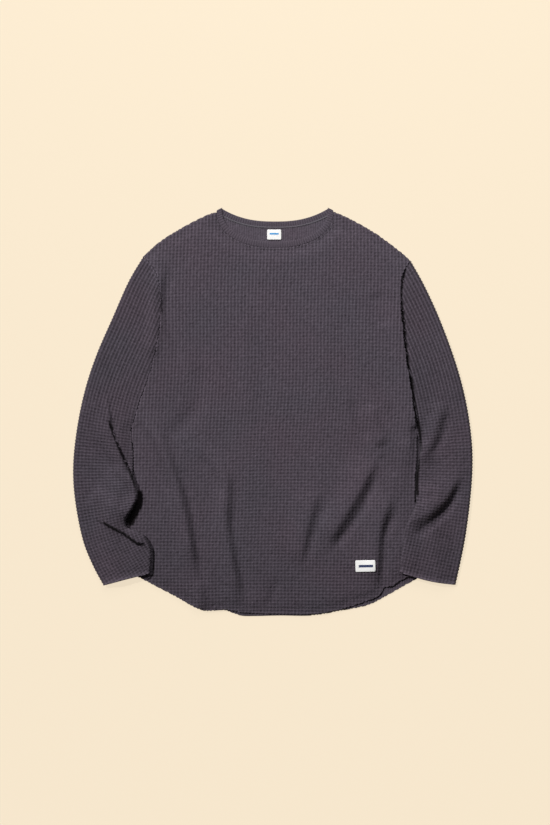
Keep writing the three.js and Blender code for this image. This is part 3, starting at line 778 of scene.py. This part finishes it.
def panel(name, hem, on_front):
    outline = panel_outline(hem, on_front)
    knit = Knit(BODY_COLUMNS, BODY_ROWS, body_grain, outline, PANEL_SEED + on_front)
    x, y = knit.x, knit.y
    to_fold = distance_to(fold_edges, x, y)
    to_hem = nearest_on(smooth_chain(hem), x, y)[0]
    to_neck = nearest_on(neck_curve(on_front, NECK_BAND + SEAM_GAP), x, y)[0]
    outer_roll = roll_over(to_fold, SIDE_RADIUS)
    inner_roll = roll_over(np.maximum(to_fold - INNER_TURN, 0), SIDE_RADIUS)
    seams = [ARMHOLE_RIGHT, ARMHOLE_LEFT, SIDE_RIGHT[5:]]
    to_seam = distance_to([smooth_chain(seam) for seam in seams], x, y)
    rib = knit.rib_share(body_ribs_across(y))
    # The grooves are cut into the cloth, and their tone also gets painted shade
    hem_groove = GROOVE_DEPTH * bump_at(to_hem, HEM_DEPTH, GROOVE_HALF_WIDTH)
    groove = hem_groove + GROOVE_DEPTH * bump_at(to_neck, 3.0, GROOVE_HALF_WIDTH)
    scallop = SCALLOP * (knit.on_rim & (to_neck > 3) & ~knit.rib_up & ~knit.rib_across)
    knit.x = x + knit.inward_x * scallop
    knit.y = y + knit.inward_y * scallop
    rounded = 1.0 - roll_over(to_hem, EDGE_ROUNDING)
    everywhere = np.arange(knit.kept.size)
    if on_front:
        height = body_height(x, y)
        depth, painted_crease_shade = crease_cuts(BODY_PAINTED_SHADOW_CREASES, x, y)
        upper = height - PIT_DEPTH * np.maximum(1 - rib, 0) - groove - 0.6 * rounded - depth
        lower = height - CLOTH + 0.5 * rounded
        upper = lerp(SIDE_MIDDLE, upper, outer_roll)
        lower = lerp(SIDE_MIDDLE, lower, inner_roll)
        stands = (everywhere, knit.coarse(np.zeros(knit.shape, bool)))
        # Painted light along the front hem rim, light bounced up from the floor
        rim_painted_light = FRONT_HEM_PAINTED_LIGHT * bump_at(to_hem, 0.0, 3.5)
        # Painted light along the armholes and the upper right side seam
        seam_painted_light = SEAM_PAINTED_LIGHT * bump_at(to_seam, 0.0, SEAM_HALF_WIDTH)
        # Painted shade of grooves and creases darkens the upper side; painted light lightens its
        # hem rim and seams
        rib_upper = rib - GROOVE_PAINTED_SHADE * groove + rim_painted_light - CREASE_PAINTED_SHADE * painted_crease_shade
        # Painted shade darkens the lower front
        rib_upper += seam_painted_light - LOW_PAINTED_SHADE * ease((-120 - y) / 200)
        rib_lower = np.full(knit.shape, PLAIN_TONE)
    else:
        # The inside's tone follows its fine ribs and is darker where the cloth lies lower: painted
        # shade in its hollows
        inside_rib = 0.2 + 0.6 * knit.fine_rib + knit.uneven
        shown = back_shown(to_neck, to_hem, x)
        upper = CLOTH - np.where(shown, 0.7 * (1 - inside_rib), 0.0) - 0.6 * rounded
        lower = PIT_DEPTH * np.maximum(1 - rib, 0) + groove + 0.4 * rounded
        upper = lerp(SIDE_MIDDLE, upper, inner_roll)
        lower = lerp(SIDE_MIDDLE, lower, outer_roll)
        stands = (knit.coarse(shown), everywhere)
        # Painted light along the back hem rim, light bounced up from the floor
        rim_painted_light = BACK_HEM_PAINTED_LIGHT * bump_at(to_hem, 0.0, 2.4)
        rib_upper = np.where(shown, inside_rib, PLAIN_TONE) + rim_painted_light
        # Painted shade in the grooves darkens the lower side
        rib_lower = rib - GROOVE_PAINTED_SHADE * groove
    return cloth_layer(name, knit, (upper, lower), stands, (rib_upper, rib_lower))


# Share of the ribs across on a sleeve, which grows to the elbow and falls again to the cuff
def sleeve_ribs_across(y):
    return 0.2 + 0.45 * ease((60 - y) / 120) - 0.2 * ease((-160 - y) / 60)


# Columns of nodes across a sleeve, and how far past the cuff its lengthwise line runs on
SLEEVE_COLUMNS = (0, 84)
GUIDE_BEYOND = 70

# Climb onto the body: how far outside the side seam it starts, how wide it is, and the air below
CLIMB_FROM_SIDE = 62
CLIMB_WIDTH = 56
SLEEVE_AIR = 1.1

# How flat and how far up the cuff is pressed, how the flush stretch fades along and across the
# sleeve, how far the inner side stands in from a fold, and what counts as on an edge
CUFF_PRESSED_TO = 0.4
CUFF_PRESSED_OVER = 70
FLUSH_FADE = 20
FLUSH_WIDTH = 22
INNER_INSET = 1.6
ON_EDGE = 0.3


# Sleeve: a flattened tube, open at the armhole and at the cuff
def sleeve_piece(sleeve, folds, creases):
    sign = sleeve["sign"]
    gap = np.array([sign * SLEEVE_GAP, 0.0])
    outer = smooth_chain(sleeve["outer"]) + gap
    inner = smooth_chain(sleeve["inner"]) + gap
    cuff = smooth_chain(sleeve["cuff"]) + gap
    armhole = smooth_chain(sleeve["armhole"]) + gap
    outline = np.vstack([outer[:-1], cuff[:-1], inner[::-1][:-1], armhole[::-1][:-1]])

    # The knit runs along the outer fold, and its rows stand square to it
    end_way = outer[-1] - outer[-8]
    end_way /= np.hypot(*end_way)
    guide = np.vstack([outer, outer[-1] + end_way * GUIDE_BEYOND])
    run = running_length(guide)
    steps = np.diff(guide, axis=0)
    turned = np.unwrap(np.arctan2(steps[:, 1], steps[:, 0]))
    angle_fit = np.polyfit((run[1:] + run[:-1]) / 2, turned, 3)

    def sleeve_grain(u, v):
        base_x = np.interp(v, run, guide[:, 0])
        base_y = np.interp(v, run, guide[:, 1])
        angle = np.polyval(angle_fit, v) - sign * math.pi / 2
        drift = 1.2 * np.sin(v / 47 + sign)
        reach = 0.3 + u + drift * ease(u / 30)
        return base_x + reach * np.cos(angle), base_y + reach * np.sin(angle)

    rows = int(run[-1] / CELL_HEIGHT * CELL_NODES)
    knit = Knit(SLEEVE_COLUMNS, (0, rows), sleeve_grain, outline, SLEEVE_SEED + sign)
    x, y = knit.x, knit.y
    side = smooth_chain(sleeve["side"])
    side_x = np.interp(y, side[:, 1], side[:, 0])
    inside = -sign * (x - side_x)
    climbed = ease((sleeve["climb_from"] - y) / (sleeve["climb_from"] - sleeve["climb_to"]))
    over_body = ease((inside + CLIMB_FROM_SIDE) / CLIMB_WIDTH)
    floor = climbed * over_body * (body_height(x, y) + SLEEVE_AIR)
    rise = LOFT + fold_heights(folds, x, y) + fold_heights(SEAM_FOLDS, x, y) + hand_waves(x, y)
    to_inner = nearest_on(inner, x, y)[0]
    flush_low, flush_high = sleeve["flush"]
    flush = ease((y - flush_low) / FLUSH_FADE) * ease((flush_high - y) / FLUSH_FADE)
    flush = flush * (1 - ease(to_inner / FLUSH_WIDTH))
    depth, painted_crease_shade = crease_cuts(creases, x, y)
    to_cuff = nearest_on(cuff, x, y)[0]
    pressed = lerp(CUFF_PRESSED_TO, 1.0, ease(to_cuff / CUFF_PRESSED_OVER))
    top = floor + FLAT + soft_positive(rise * (1 - flush) * pressed - depth)
    middle = (floor + np.minimum(top, floor + FLAT + 4)) / 2
    radius = 0.8 * (middle - floor) + 1.6
    to_fold = distance_to([outer, inner], x, y)
    to_armhole = nearest_on(armhole, x, y)[0]
    outer_roll = np.maximum(roll_over(to_fold, radius), 0.97 * flush)
    inner_roll = np.maximum(roll_over(to_fold, radius - INNER_TURN), 0.9 * flush)
    rib = knit.rib_share(sleeve_ribs_across(y))
    # The cuff groove is cut into the cloth, and its tone also gets painted shade
    groove = GROOVE_DEPTH * bump_at(to_cuff, HEM_DEPTH, GROOVE_HALF_WIDTH)
    rounded = 1.0 - roll_over(to_cuff, EDGE_ROUNDING)
    seam_dip = GROOVE_DEPTH * bump_at(to_armhole, 0.0, SEAM_HALF_WIDTH)
    pit = PIT_DEPTH * np.maximum(1 - rib, 0) + groove + 0.6 * rounded + seam_dip
    over = lerp(middle, top - pit, outer_roll)
    under = lerp(middle, floor + pit - 0.6 * rounded, outer_roll)
    lining_top = lerp(middle, np.maximum(top - CLOTH, middle + 0.3), inner_roll)
    lining_bottom = lerp(middle, np.minimum(floor + CLOTH, middle - 0.3), inner_roll)

    folded = (knit.on_rim & (to_fold < ON_EDGE)).ravel()
    outer_side = nearest_on(outer, x, y)[0] < ON_EDGE
    scallop = SCALLOP * (outer_side & ~knit.rib_across)
    inset = INNER_INSET * np.exp(-to_fold / 2.5)
    skin_x = x + knit.inward_x * scallop
    skin_y = y + knit.inward_y * scallop
    lining_x = x + knit.inward_x * inset
    lining_y = y + knit.inward_y * inset
    count = knit.kept.size
    points = points_of(
        (skin_x, skin_y, over),
        (skin_x, skin_y, under),
        (lining_x, lining_y, lining_top),
        (lining_x, lining_y, lining_bottom),
    )
    ids = np.arange(count)
    thin = knit.coarse(np.zeros(knit.shape, bool))
    skin_under = np.where(folded, ids, ids + count)
    lining_over = thin + 2 * count
    lining_under = np.where(folded, ids + 2 * count, thin + 3 * count)
    faces = [
        knit.faces,
        skin_under[knit.faces][:, ::-1],
        without_slivers(lining_over[knit.faces])[:, ::-1],
        without_slivers(lining_under[knit.faces]),
    ]
    a, b = knit.rim.T
    is_open = ~(folded[a] & folded[b])
    a, b = a[is_open], b[is_open]
    for skin, lining, flip in ((ids, lining_over, False), (skin_under, lining_under, True)):
        strip = halves(skin[b], skin[a], lining[a], lining[b])
        faces.append(strip[:, ::-1] if flip else strip)
    place = np.stack([knit.u.ravel(), knit.v.ravel()], 1)
    # Painted light along the cuff rim, light bounced up from the floor
    rim_painted_light = CUFF_PAINTED_LIGHT * bump_at(to_cuff, 0.0, 4.5)
    # Painted shade darkens the whole sleeve and its cuff groove; painted light lightens the cuff
    # rim
    shade = (rib - SLEEVE_PAINTED_SHADE - GROOVE_PAINTED_SHADE * groove + rim_painted_light).ravel()
    # Painted light along the armhole seam and the flush inner edge, lightening the shaded line of
    # the gap
    at_seam = bump_at(to_armhole, 0.0, SEAM_HALF_WIDTH)
    at_seam = at_seam + flush * bump_at(to_inner, 0.0, SEAM_HALF_WIDTH)
    # Painted shade at the bottom of creases darkens the upper skin
    creased = shade + (SEAM_PAINTED_LIGHT * at_seam - CREASE_PAINTED_SHADE * painted_crease_shade).ravel()
    plain = np.full(count, PLAIN_TONE)
    return make_object(
        sleeve["name"] + "_knit",
        points,
        np.vstack(faces),
        np.vstack([place] * 4),
        np.concatenate([creased, shade, plain, plain]),
        [waffle_knit],
    )


# Neckband: width of its fine ribs, and steps along each half, round a fold and round its section
BAND_RIB = 4.1
BAND_STATIONS = 260
BAND_BENDS = 8
BAND_SIDES = 16


# A ribbon all round the opening, folded over at both shoulders
def neckband_piece():
    share = np.linspace(0, 1, BAND_STATIONS + 1)
    upper = FLAT - CLOTH / 2
    lower = CLOTH / 2
    radius = (upper - lower) / 2
    turns_round = np.linspace(0, 2 * math.pi, BAND_SIDES, endpoint=False)
    across = np.sign(np.cos(turns_round)) * np.abs(np.cos(turns_round)) ** 0.5
    raised = np.sign(np.sin(turns_round)) * np.abs(np.sin(turns_round)) ** 0.5
    sections = []

    def add_section(edge, way, height, normal, place):
        for reach, up in zip(across, raised):
            out = (reach + 1) / 2 * NECK_BAND
            fine_rib = 0.5 + 0.5 * math.cos(2 * math.pi * place / BAND_RIB)
            seam = bump_at(out, NECK_BAND - 2.0, 1.0)
            lift = up * (CLOTH / 2 - 0.35 * (1 - fine_rib) - 0.15 * seam)
            sections.append((
                edge[0] + way[0] * out + normal[0] * lift,
                edge[1] + way[1] * out + normal[1] * lift,
                height + normal[2] * lift,
                place,
                out,
                # Tone is lower in the hollows between the fine ribs and along the seam line:
                # painted shade
                0.15 + 0.75 * fine_rib - 0.1 * seam,
            ))

    def add_half(on_front, order):
        edges = neck_edge(share, on_front)
        ways = neck_way(share, on_front)
        height = upper if on_front else lower
        up = 1 if on_front else -1
        run = running_length(edges)
        for k in order:
            add_section(edges[k], ways[k], height, (0, 0, up), run[k])

    def add_bend(index, going_down):
        edge = neck_edge(share[[index]], True)[0]
        way = neck_way(share[[index]], True)[0]
        beyond = (abs(way[1]) * -np.sign(way[0]), abs(way[0]))
        turns = [math.pi * k / BAND_BENDS for k in range(1, BAND_BENDS)]
        for turn in turns if going_down else turns[::-1]:
            push = radius * math.sin(turn)
            moved = (edge[0] + beyond[0] * push, edge[1] + beyond[1] * push)
            height = (upper + lower) / 2 + radius * math.cos(turn)
            normal = (beyond[0] * math.sin(turn), beyond[1] * math.sin(turn), math.cos(turn))
            add_section(moved, way, height, normal, turn * radius)

    add_half(True, range(BAND_STATIONS + 1))
    add_bend(BAND_STATIONS, True)
    add_half(False, range(BAND_STATIONS, -1, -1))
    add_bend(0, False)
    table = np.array(sections)
    loops = len(table) // BAND_SIDES
    s, k = np.meshgrid(np.arange(loops), np.arange(BAND_SIDES), indexing="ij")

    def at(loop, step):
        return ((loop % loops) * BAND_SIDES + step % BAND_SIDES).ravel()

    faces = halves(at(s, k), at(s, k + 1), at(s + 1, k + 1), at(s + 1, k))[:, ::-1]
    points, place, rib = table[:, :3], table[:, 3:5], table[:, 5]
    return make_object("neckband_knit", points, faces, place, rib, [plain_knit])


# Labels: steps across and up, and radius of the corners
LABEL_ACROSS = 28
LABEL_UP = 18
LABEL_CORNER = 2.0


def is_in_bar(bar, x, y):
    return (np.abs(x - bar["x"]) < bar["width"] / 2) & (np.abs(y - bar["y"]) < bar["height"] / 2)


# A woven patch with rounded corners and one plain bar, raised a little
def label_piece(label, under, bar, bar_material):
    i, j = np.meshgrid(np.arange(LABEL_ACROSS + 1), np.arange(LABEL_UP + 1))
    dx = (i / LABEL_ACROSS - 0.5) * label["width"]
    dy = (j / LABEL_UP - 0.5) * label["height"]
    over_x = np.maximum(np.abs(dx) - (label["width"] / 2 - LABEL_CORNER), 0)
    over_y = np.maximum(np.abs(dy) - (label["height"] / 2 - LABEL_CORNER), 0)
    beyond = np.maximum(np.hypot(over_x, over_y), 1e-9)
    pull = np.minimum(1, LABEL_CORNER / beyond)
    dx = np.sign(dx) * (np.abs(dx) - over_x * (1 - pull))
    dy = np.sign(dy) * (np.abs(dy) - over_y * (1 - pull))
    turn = label["turn"]
    x = label["x"] + dx * math.cos(turn) - dy * math.sin(turn)
    y = label["y"] + dx * math.sin(turn) + dy * math.cos(turn)
    edge = np.minimum(label["width"] / 2 - np.abs(dx), label["height"] / 2 - np.abs(dy))
    low = under(x, y)
    dip = 0.25 * (1 - ease(edge / 1.2)) + 0.12 * bump_at(edge, 2.2, 0.5)
    high = low + LABEL_CLOTH - dip + 0.12 * is_in_bar(bar, dx, dy)
    count = x.size
    ids = np.arange(count).reshape(x.shape)
    top = halves(*corners_of(ids))
    loop = np.concatenate([ids[0, :-1], ids[:-1, -1], ids[-1, :0:-1], ids[:0:-1, 0]])
    after = np.roll(loop, -1)
    side = halves(loop + count, after + count, after, loop)
    faces = np.vstack([top, top[:, ::-1] + count, side])
    points = points_of((x, y, high), (x, y, low))
    place = np.stack([dx.ravel(), dy.ravel()], 1)
    middle_x = dx.ravel()[top].mean(axis=1)
    middle_y = dy.ravel()[top].mean(axis=1)
    in_bar = is_in_bar(bar, middle_x, middle_y)
    face_material = np.concatenate([in_bar.astype(int), np.zeros(len(faces) - len(top), int)])
    return make_object(
        label["name"] + "_tape",
        points,
        faces,
        np.vstack([place, place]),
        np.ones(2 * count),
        [white_tape, bar_material],
        face_material,
    )


# Rise of a stitch from end to end, in shares of its thickness, and sides of the thread
STITCH_ARCH = np.array([-0.5, -0.05, 0.1, -0.05, -0.5])
STITCH_SIDES = 5


# Short stitches lying on the cloth. Columns of the rows: chain, height of the cloth, length of a
# stitch, gap after it, thickness, lift over the cloth and tone.
def stitch_piece(name, rows):
    points = []
    faces = []
    tones = []
    stations = len(STITCH_ARCH)
    tube = tube_faces(stations, STITCH_SIDES)
    for chain, height, length, gap, thickness, lift, tone in rows:
        run = running_length(chain)
        count = int(run[-1] / (length + gap))
        for k in range(count):
            start = (k + 0.5) * (length + gap) - length / 2
            marks = np.linspace(start, start + length, stations)
            x, y = along(chain, marks)
            way = np.array([x[-1] - x[0], y[-1] - y[0]])
            way /= np.hypot(*way)
            z = height(x, y) + lift + STITCH_ARCH * thickness * 1.6
            faces.append(tube + len(points))
            tones += [tone] * (stations * STITCH_SIDES)
            for m in range(stations):
                for n in range(STITCH_SIDES):
                    turn = 2 * math.pi * n / STITCH_SIDES
                    sideways = math.cos(turn) * thickness / 2
                    points.append((
                        x[m] - way[1] * sideways,
                        y[m] + way[0] * sideways,
                        z[m] + math.sin(turn) * thickness / 2,
                    ))
    table = np.array(points)
    return make_object(name, table, np.vstack(faces), table[:, :2], np.array(tones), [seam_thread])


def offset_chain(chain, distance):
    run = unit(np.gradient(chain, axis=0))
    return chain + np.stack([-run[:, 1], run[:, 0]], 1) * distance


# Ribbon of round section along a chain, with its middle height, half width and half thickness
def ribbon(name, x, y, middle, half_width, thickness, tone, material):
    way = unit(np.stack([np.gradient(x), np.gradient(y)], 1))
    turns = np.linspace(0, 2 * math.pi, 8, endpoint=False)
    sections = [
        np.stack([
            x - way[:, 1] * half_width * math.cos(turn),
            y + way[:, 0] * half_width * math.cos(turn),
            middle + thickness * math.sin(turn) + np.zeros(len(x)),
        ], 1)
        for turn in turns
    ]
    table = np.stack(sections, 1)
    faces = tube_faces(*table.shape[:2])
    points = table.reshape(-1, 3)
    return make_object(name, points, faces, points[:, :2], np.full(len(points), tone), [material])


# Seam allowance: the raw edges of a seam, lying inside the top and below its side gaps. It sinks
# to the ground over the last stretch before the armpit, and widens where the sleeve climbs.
SEAM_STRETCH = 30
SEAM_END = -236


def seam_allowance(name, sleeve):
    armhole = smooth_chain(sleeve["armhole"])
    side = smooth_chain(sleeve["side"])[::-1]
    side = side[side[:, 1] > SEAM_END]
    chain = np.vstack([armhole[:-1], side]) + np.array([sleeve["sign"] * SLEEVE_GAP / 2, 0.0])
    run = running_length(chain)
    marks = np.arange(4.0, run[-1], 5.0)
    x, y = along(chain, marks)
    armpit = run[len(armhole) - 1]
    low = ease((marks - armpit + SEAM_STRETCH) / SEAM_STRETCH)
    below_climb = ease((sleeve["climb_from"] - y) / SEAM_STRETCH)
    outward = sleeve["sign"] * (4.0 * low + 7.5 * below_climb)
    middle = lerp(3.6, 0.5, low)
    half_width = lerp(4.0, 8.0, low) + 7.0 * below_climb
    thickness = lerp(0.8, 0.4, low)
    # Tone 0.0, the pit tone all over, is painted shade that keeps the strip dark in the side gaps
    return ribbon(name, x + outward, y, middle, half_width, thickness, 0.0, waffle_knit)


# Tape that covers the seam of the band inside the back neck
def neck_tape():
    x, y = neck_curve(False, NECK_BAND + 0.3, 90)[6:-6].T
    return ribbon("back_neck_tape", x, y, CLOTH - 0.1, 1.4, 0.35, 0.3, seam_thread)


def back_top(x, y):
    return np.full(x.shape, CLOTH)


# The pieces
front = panel("front_knit", HEM_FRONT, True)
back = panel("back_knit", HEM_BACK, False)
sleeve_right = sleeve_piece(SLEEVE_RIGHT, SLEEVE_RIGHT_FOLDS, SLEEVE_RIGHT_CREASES)
sleeve_left = sleeve_piece(SLEEVE_LEFT, SLEEVE_LEFT_FOLDS, SLEEVE_LEFT_CREASES)
neckband = neckband_piece()
neck_label = label_piece(
    NECK_LABEL,
    lambda x, y: back_top(x, y) + 0.2,
    {"x": 0.0, "y": 1.5, "width": 16.0, "height": 3.6},
    blue_bar,
)
hem_label = label_piece(
    HEM_LABEL,
    lambda x, y: body_height(x, y) + 0.35,
    {"x": 0.5, "y": 0.0, "width": 25.0, "height": 5.2},
    navy_bar,
)
right_seam = seam_allowance("right_seam_allowance", SLEEVE_RIGHT)
left_seam = seam_allowance("left_seam_allowance", SLEEVE_LEFT)
tape = neck_tape()
hem_line = offset_chain(smooth_chain(HEM_FRONT), HEM_DEPTH)[30:-30]
front_neck_line = neck_curve(True, NECK_BAND + 3.0, 120)[6:-6]
back_neck_line = neck_curve(False, NECK_BAND + 2.6, 120)[8:-8]
front_stitches = stitch_piece(
    "front_stitches",
    [
        (hem_line, body_height, 2.6, 0.8, 0.4, -0.55, 0.3),
        (front_neck_line, body_height, 2.4, 0.8, 0.35, -0.5, 0.5),
    ],
)
back_stitches = stitch_piece(
    "back_stitches",
    [(back_neck_line, back_top, 2.4, 0.7, 0.45, -0.2, 0.25)],
)

# Columns: piece, node it stands for, finish, flat width and length, area of the cut in square
# metres where it isn't a rectangle, what it lies on, and the pieces sewn on it
SHEETS = [
    (front, "front", "waffle_knit", (0.535, 0.70), 0.31, ["back"], [front_stitches]),
    (back, "back", "waffle_knit", (0.535, 0.715), 0.318, ["floor"],
     [back_stitches, right_seam, left_seam, tape]),
    (sleeve_right, "sleeve_right", "waffle_knit", (0.31, 0.60), 0.112, ["back", "front"], []),
    (sleeve_left, "sleeve_left", "waffle_knit", (0.30, 0.60), 0.108, ["back", "front"], []),
    (neckband, "neckband", "plain_knit", (0.0105, 0.45), None, ["back"], []),
    (neck_label, "neck_label", "woven_label", (0.025, 0.018), None, ["back"], []),
    (hem_label, "hem_label", "woven_label", (0.035, 0.0205), None, ["front"], []),
]
for piece, node, finish, flat, area, rests_on, extras in SHEETS:
    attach(piece, "root")
    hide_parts(node)
    for extra in extras:
        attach(extra, "root")

# Ground, in metres as all from here on. Most of its tone is its own, so that it stays even.
GROUND_REACH = 40.0
GROUND_LEVEL = -0.0004
GROUND_SHARE_LIT = 0.12
GROUND_GLOW = 0.85
CREAM = (0.965, 0.831, 0.638)
ground_mesh = bpy.data.meshes.new("floor")
signs = [(-1, -1), (1, -1), (1, 1), (-1, 1)]
ground_mesh.from_pydata(
    [(x * GROUND_REACH, y * GROUND_REACH, GROUND_LEVEL) for x, y in signs], [], [(0, 1, 2, 3)]
)
ground = add_object("floor", ground_mesh)
ground_material, ground_shader = new_material("pale_floor")
set_inputs(ground_material.node_tree, ground_shader, {
    "Base Color": (*[GROUND_SHARE_LIT * part for part in CREAM], 1),
    "Emission Color": (*CREAM, 1),
    "Emission Strength": GROUND_GLOW,
    "Roughness": 1.0,
    "Specular IOR Level": 0.0,
})
ground_mesh.materials.append(ground_material)

# Camera, straight above
CAMERA_HEIGHT = 3.2
VIEW_HEIGHT = 1.452
CLOTH_LEVEL = 0.008
SENSOR = 24.0
camera_data = bpy.data.cameras.new("camera")
camera_data.sensor_fit = "VERTICAL"
camera_data.sensor_width = SENSOR
camera_data.sensor_height = SENSOR
camera_data.lens = SENSOR * (CAMERA_HEIGHT - CLOTH_LEVEL) / VIEW_HEIGHT
camera = add_object("camera", camera_data)
camera.location = ((NECK_X + SHIFT_X) / 1000, SHIFT_Y / 1000, CAMERA_HEIGHT)
bpy.context.scene.camera = camera

# Light
WORLD_LIGHT = 0.08
world = bpy.data.worlds.new("studio")
world.use_nodes = True
background = world.node_tree.nodes["Background"]
set_inputs(world.node_tree, background, {"Color": (1, 1, 1, 1), "Strength": WORLD_LIGHT})
bpy.context.scene.world = world

# Columns: name, kind, place, power, and the width of an area light or the angle of a far one
LIGHTS = [
    ("key", "SUN", (-2.3, 1.8, 2.55), 3.15, 0.06),
    ("fill", "AREA", (0.1, 1.9, 1.3), 39.0, 1.2),
]
for name, kind, place, power, width in LIGHTS:
    light_data = bpy.data.lights.new(name, kind)
    light_data.energy = power
    if kind == "SUN":
        light_data.angle = width
    else:
        light_data.size = width
    light = add_object(name, light_data)
    light.location = place
    light.rotation_euler = (-Vector(place)).to_track_quat("-Z", "Y").to_euler()

settings = bpy.context.scene.view_settings
settings.view_transform = "Standard"
settings.look = "None"
settings.exposure = 0
settings.gamma = 1
